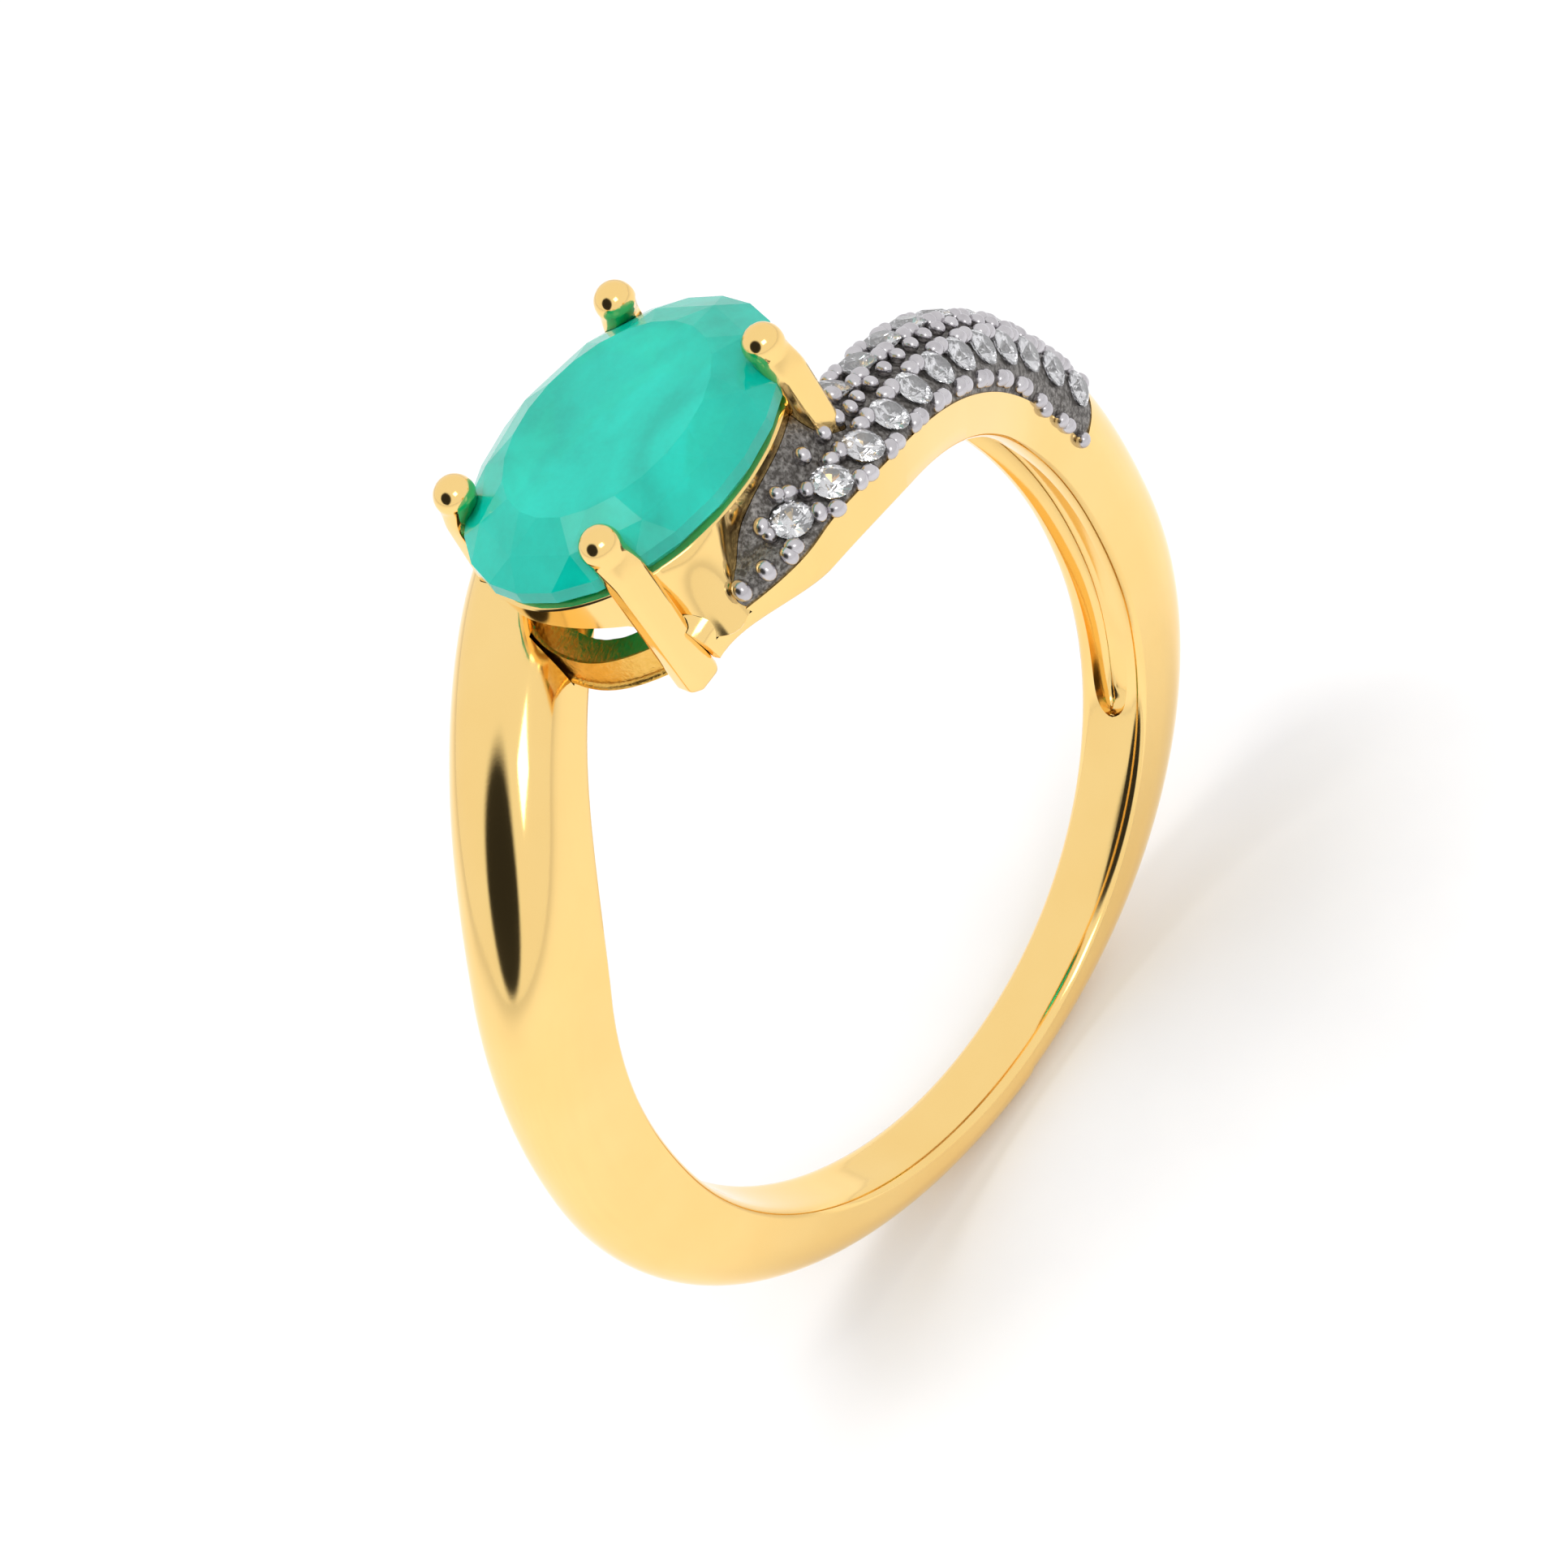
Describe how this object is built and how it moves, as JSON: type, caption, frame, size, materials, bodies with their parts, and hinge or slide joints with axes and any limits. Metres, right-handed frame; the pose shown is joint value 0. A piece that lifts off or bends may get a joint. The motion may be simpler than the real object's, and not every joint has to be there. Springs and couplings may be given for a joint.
{
  "type": "cocktail ring",
  "caption": "Gold-plated bypass ring: an oval teal stone in a four-prong basket between a plain domed arm and an arm set with rows of small clear stones.",
  "frame": {"origin": "centre of the finger bore, on its axis, midway across the band", "axes": "+Y along the finger, the plain arm's end being on the +Y side; +Z from the bore's centre to the centre stone; +X towards the stone-set arm"},
  "size_m": [0.0222, 0.0079, 0.0244],
  "materials": {
    "gold_plate": "polished yellow gold plate over silver",
    "rhodium_plate": "bright rhodium plate with darkened recesses",
    "teal_stone": "polished translucent teal stone",
    "clear_stone": "polished colourless stone"
  },
  "bodies": {
    "root": {"shank": "gold_plate", "pave_bed": "rhodium_plate", "head_collar": "gold_plate", "gallery_rail": "gold_plate", "prong_front_left": "gold_plate", "prong_front_right": "gold_plate", "prong_rear_left": "gold_plate", "prong_rear_right": "gold_plate", "centre_stone": "teal_stone", "pave_front_01": "clear_stone", "pave_front_02": "clear_stone", "pave_front_03": "clear_stone", "pave_front_04": "clear_stone", "pave_front_05": "clear_stone", "pave_front_06": "clear_stone", "pave_front_07": "clear_stone", "pave_front_08": "clear_stone", "pave_front_09": "clear_stone", "pave_front_10": "clear_stone", "pave_front_11": "clear_stone", "pave_front_12": "clear_stone", "pave_rear_01": "clear_stone", "pave_rear_02": "clear_stone", "pave_rear_03": "clear_stone", "pave_rear_04": "clear_stone", "pave_rear_05": "clear_stone", "pave_rear_06": "clear_stone", "pave_rear_07": "clear_stone", "pave_rear_08": "clear_stone", "pave_rear_09": "clear_stone"}
  },
  "joints": []
}
